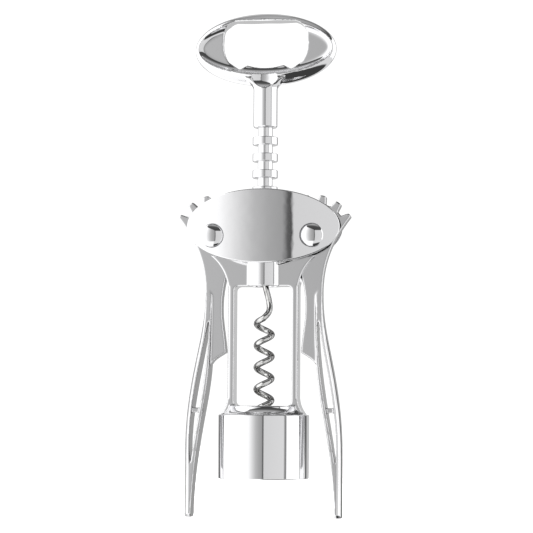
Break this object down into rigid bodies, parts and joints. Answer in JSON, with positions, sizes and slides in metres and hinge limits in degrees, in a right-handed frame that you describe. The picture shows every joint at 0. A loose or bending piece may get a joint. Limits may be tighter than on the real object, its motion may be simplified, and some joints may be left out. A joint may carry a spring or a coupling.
{
  "type": "lever corkscrew",
  "caption": "Wing corkscrew with two geared levers, a ringed rack, a steel worm, a bell that fits over a bottle neck and a bottle opener handle.",
  "frame": {"origin": "centre of the bell's open mouth, on the worm's axis", "axes": "+Z along the worm's axis, from the bell up to the handle; X across the two levers; -Y is the front"},
  "size_m": [0.0654, 0.034, 0.1902],
  "materials": {
    "casting_chrome": "bright chrome over a zinc die casting",
    "lever_chrome": "bright chrome over a zinc die casting, softly rounded edges",
    "plate_chrome": "mirror polished chrome on a pressed cover",
    "bell_chrome": "mirror polished chrome on a turned sleeve",
    "rack_chrome": "chrome on turned rings",
    "rivet_chrome": "polished domed rivet",
    "worm_steel": "drawn steel wire, nickel plated",
    "pin_steel": "plain ground steel",
    "washer_steel": "plain steel shim",
    "liner_nylon": "plain pale nylon"
  },
  "bodies": {
    "frame": {"frame_casting": "casting_chrome", "head_front_plate": "plate_chrome", "head_rear_plate": "plate_chrome", "bell_sleeve": "bell_chrome", "bell_liner": "liner_nylon", "pivot_rivet_left": "rivet_chrome", "rivet_cap_left": "rivet_chrome", "front_washer_left": "washer_steel", "rear_washer_left": "washer_steel", "pivot_rivet_right": "rivet_chrome", "rivet_cap_right": "rivet_chrome", "front_washer_right": "washer_steel", "rear_washer_right": "washer_steel"},
    "lever_left": {"lever_left": "lever_chrome"},
    "lever_right": {"lever_right": "lever_chrome"},
    "rack": {"rack_sleeve": "rack_chrome"},
    "screw": {"worm": "worm_steel", "shank_collar": "worm_steel", "handle_pin": "pin_steel", "opener_handle": "casting_chrome"}
  },
  "joints": [
    {"name": "rack_slide", "type": "slide", "parent": "frame", "child": "rack", "axis": [0, 0, -1], "range_m": [0, 0.034]},
    {"name": "lever_left_pivot", "type": "hinge", "parent": "frame", "child": "lever_left", "pos_m": [-0.0188, 0, 0.0907], "axis": [0, 1, 0], "range_deg": [0, 130]},
    {"name": "lever_right_pivot", "type": "hinge", "parent": "frame", "child": "lever_right", "pos_m": [0.0188, 0, 0.0907], "axis": [0, -1, 0], "range_deg": [0, 130]},
    {"name": "screw_turn", "type": "hinge", "parent": "rack", "child": "screw", "pos_m": [0, 0, 0.11], "axis": [0, 0, 1], "continuous": true}
  ],
  "couplings": [
    {"joint": "lever_left_pivot", "follows": "rack_slide", "rad_per_m": 66.667},
    {"joint": "lever_right_pivot", "follows": "rack_slide", "rad_per_m": 66.667}
  ]
}
